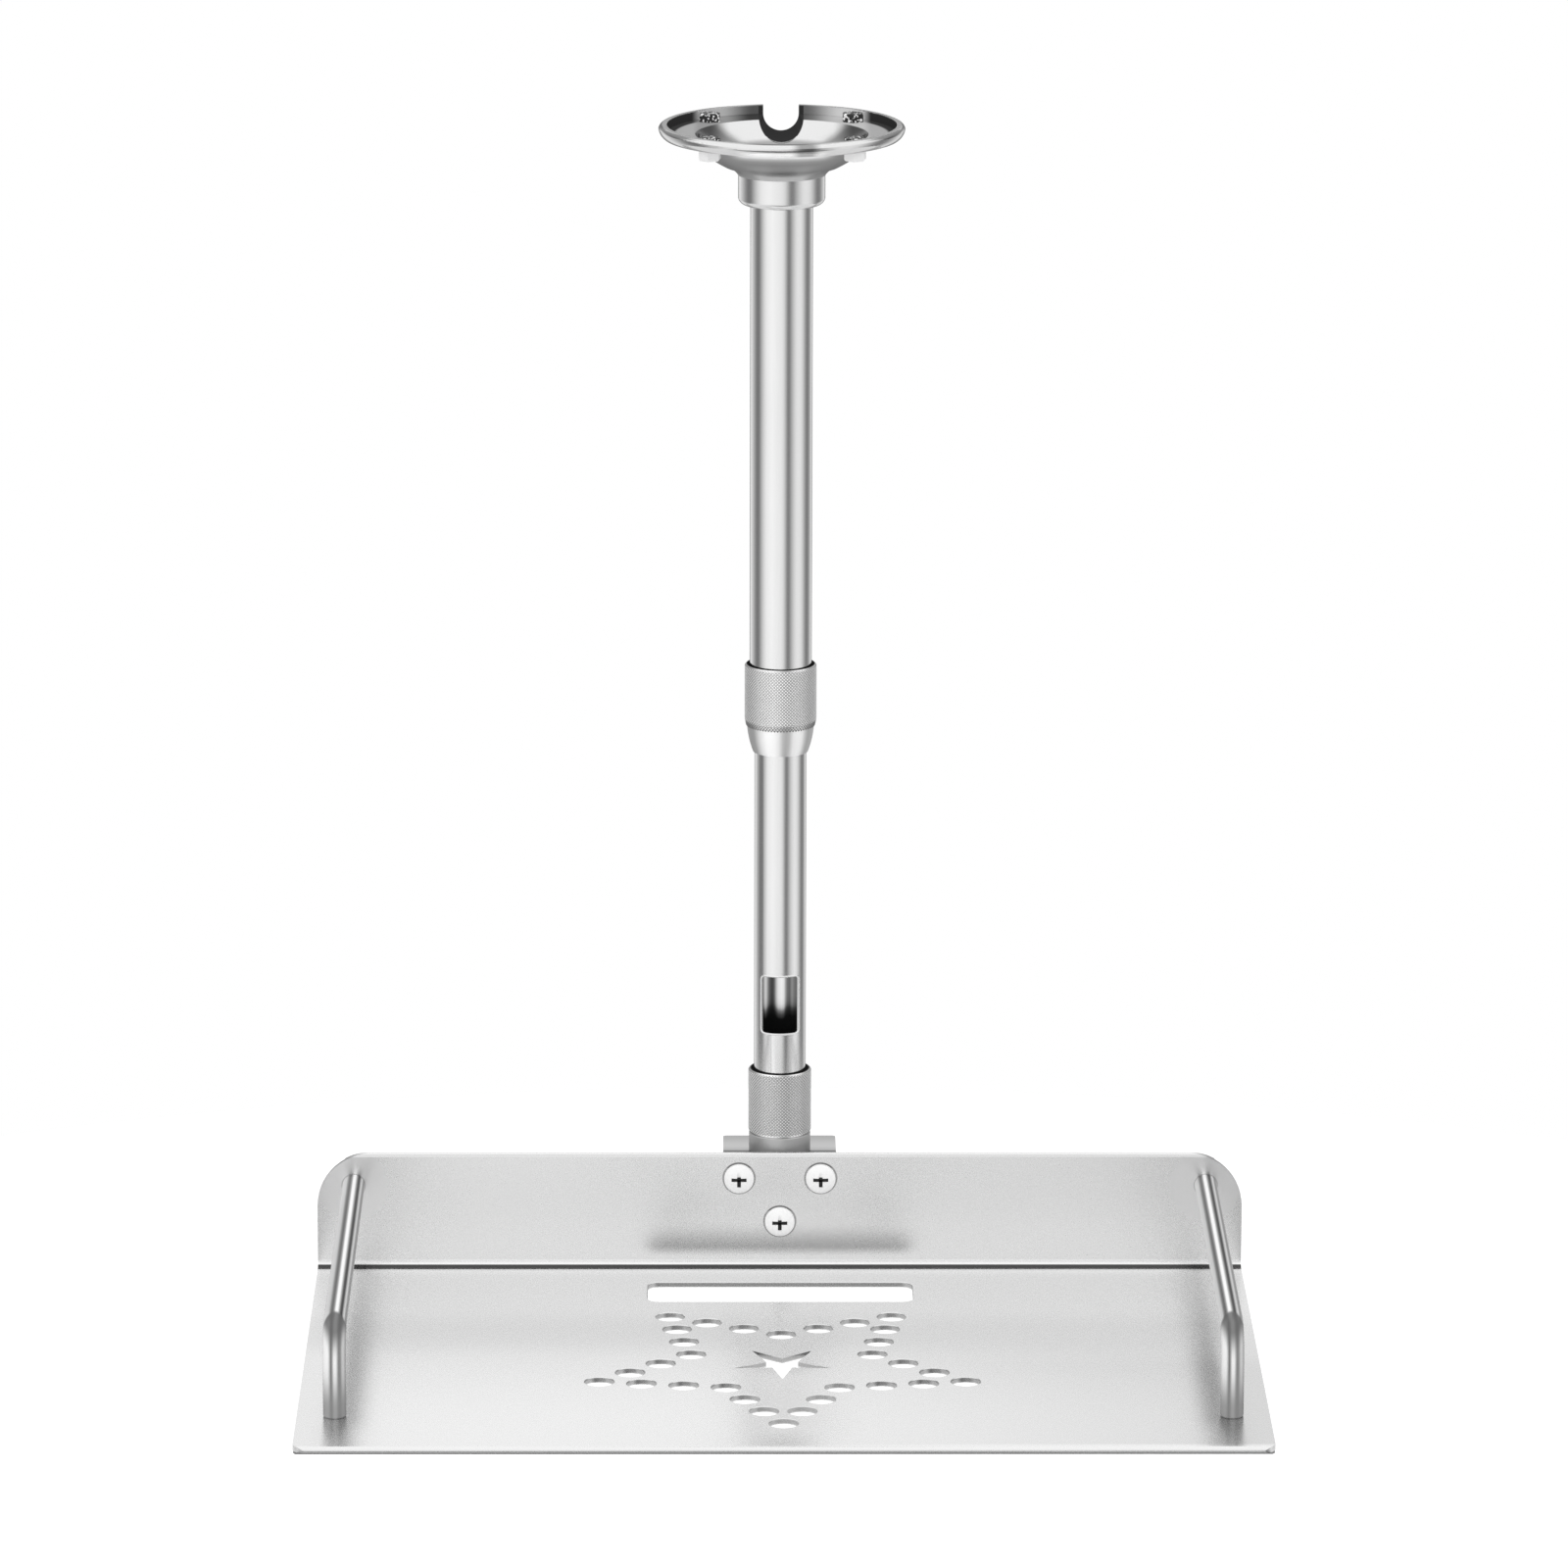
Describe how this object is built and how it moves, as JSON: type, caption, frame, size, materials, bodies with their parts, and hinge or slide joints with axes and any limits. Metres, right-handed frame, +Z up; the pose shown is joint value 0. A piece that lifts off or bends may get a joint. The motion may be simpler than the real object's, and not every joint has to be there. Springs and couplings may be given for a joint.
{
  "type": "projector ceiling mount",
  "caption": "Ceiling mount for a projector: a cast cup with a cable channel, a telescopic pole locked by a knurled collar, and a swivelling bent tray with side rails and a star of vents.",
  "frame": {"origin": "centre of the cup's flat ceiling face", "axes": "+Z up to the ceiling, -Y towards the tray's open front, +X to the right seen from the front"},
  "size_m": [0.376, 0.3012, 0.4726],
  "materials": {
    "cast_aluminium": "cast and satin polished",
    "turned_aluminium": "turned, satin",
    "satin_tube": "satin anodised tube",
    "knurled_aluminium": "diamond knurled",
    "black_polymer": "moulded, matt",
    "turned_steel": "turned",
    "bracket_steel": "plated plate",
    "tray_sheet": "fine satin sheet",
    "polished_rod": "polished rod",
    "screw_steel": "bright plated"
  },
  "bodies": {
    "ceiling_mount": {"ceiling_flange": "cast_aluminium", "neck_collar": "turned_aluminium", "upper_tube": "satin_tube", "clamp_collet": "black_polymer"},
    "lock_ring": {"lock_collar": "knurled_aluminium"},
    "lower_pole": {"lower_tube": "satin_tube", "lower_bush": "black_polymer"},
    "swivel_ring": {"swivel_collar": "knurled_aluminium"},
    "tray_unit": {"swivel_post": "turned_steel", "tray_bracket": "bracket_steel", "projector_tray": "tray_sheet", "left_tray_screw": "screw_steel", "right_tray_screw": "screw_steel", "lower_tray_screw": "screw_steel", "left_rail": "polished_rod", "left_rail_back_screw": "screw_steel", "left_rail_foot_screw": "screw_steel", "right_rail": "polished_rod", "right_rail_back_screw": "screw_steel", "right_rail_foot_screw": "screw_steel"}
  },
  "joints": [
    {"name": "lock_collar_turn", "type": "hinge", "parent": "ceiling_mount", "child": "lock_ring", "pos_m": [0, 0, -0.235], "axis": [0, 0, 1], "range_deg": [0, 180]},
    {"name": "pole_extend", "type": "slide", "parent": "ceiling_mount", "child": "lower_pole", "axis": [0, 0, -1], "range_m": [-0.12, 0.03]},
    {"name": "swivel_collar_turn", "type": "hinge", "parent": "lower_pole", "child": "swivel_ring", "pos_m": [0, 0, -0.402], "axis": [0, 0, 1], "range_deg": [0, 180]},
    {"name": "tray_swivel", "type": "hinge", "parent": "lower_pole", "child": "tray_unit", "pos_m": [0, 0, -0.409], "axis": [0, 0, 1], "continuous": true}
  ]
}
